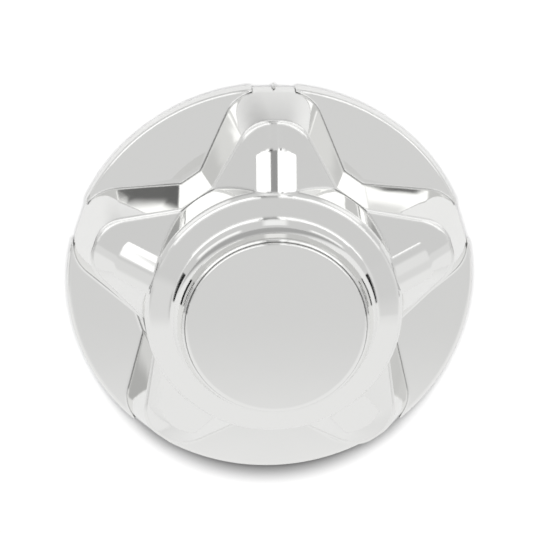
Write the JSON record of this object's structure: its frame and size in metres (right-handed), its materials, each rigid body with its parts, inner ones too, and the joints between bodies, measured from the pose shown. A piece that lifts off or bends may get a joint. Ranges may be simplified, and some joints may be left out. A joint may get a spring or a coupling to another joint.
{
  "type": "wheel centre cap",
  "caption": "Bright chrome wheel centre cap: star of hollow arms that cover the wheel nuts, around a stepped drum with a bare flat disc, on a round flange with snap legs.",
  "frame": {"origin": "on the cap's axis, in the plane where the snap legs end", "axes": "+Z along the axis towards the outer face, +Y towards the arm with the index nib"},
  "size_m": [0.18, 0.1804, 0.0708],
  "materials": {
    "chrome": "mirror-bright chrome plating on moulded plastic"
  },
  "bodies": {
    "root": {"cap_shell": "chrome"}
  },
  "joints": []
}
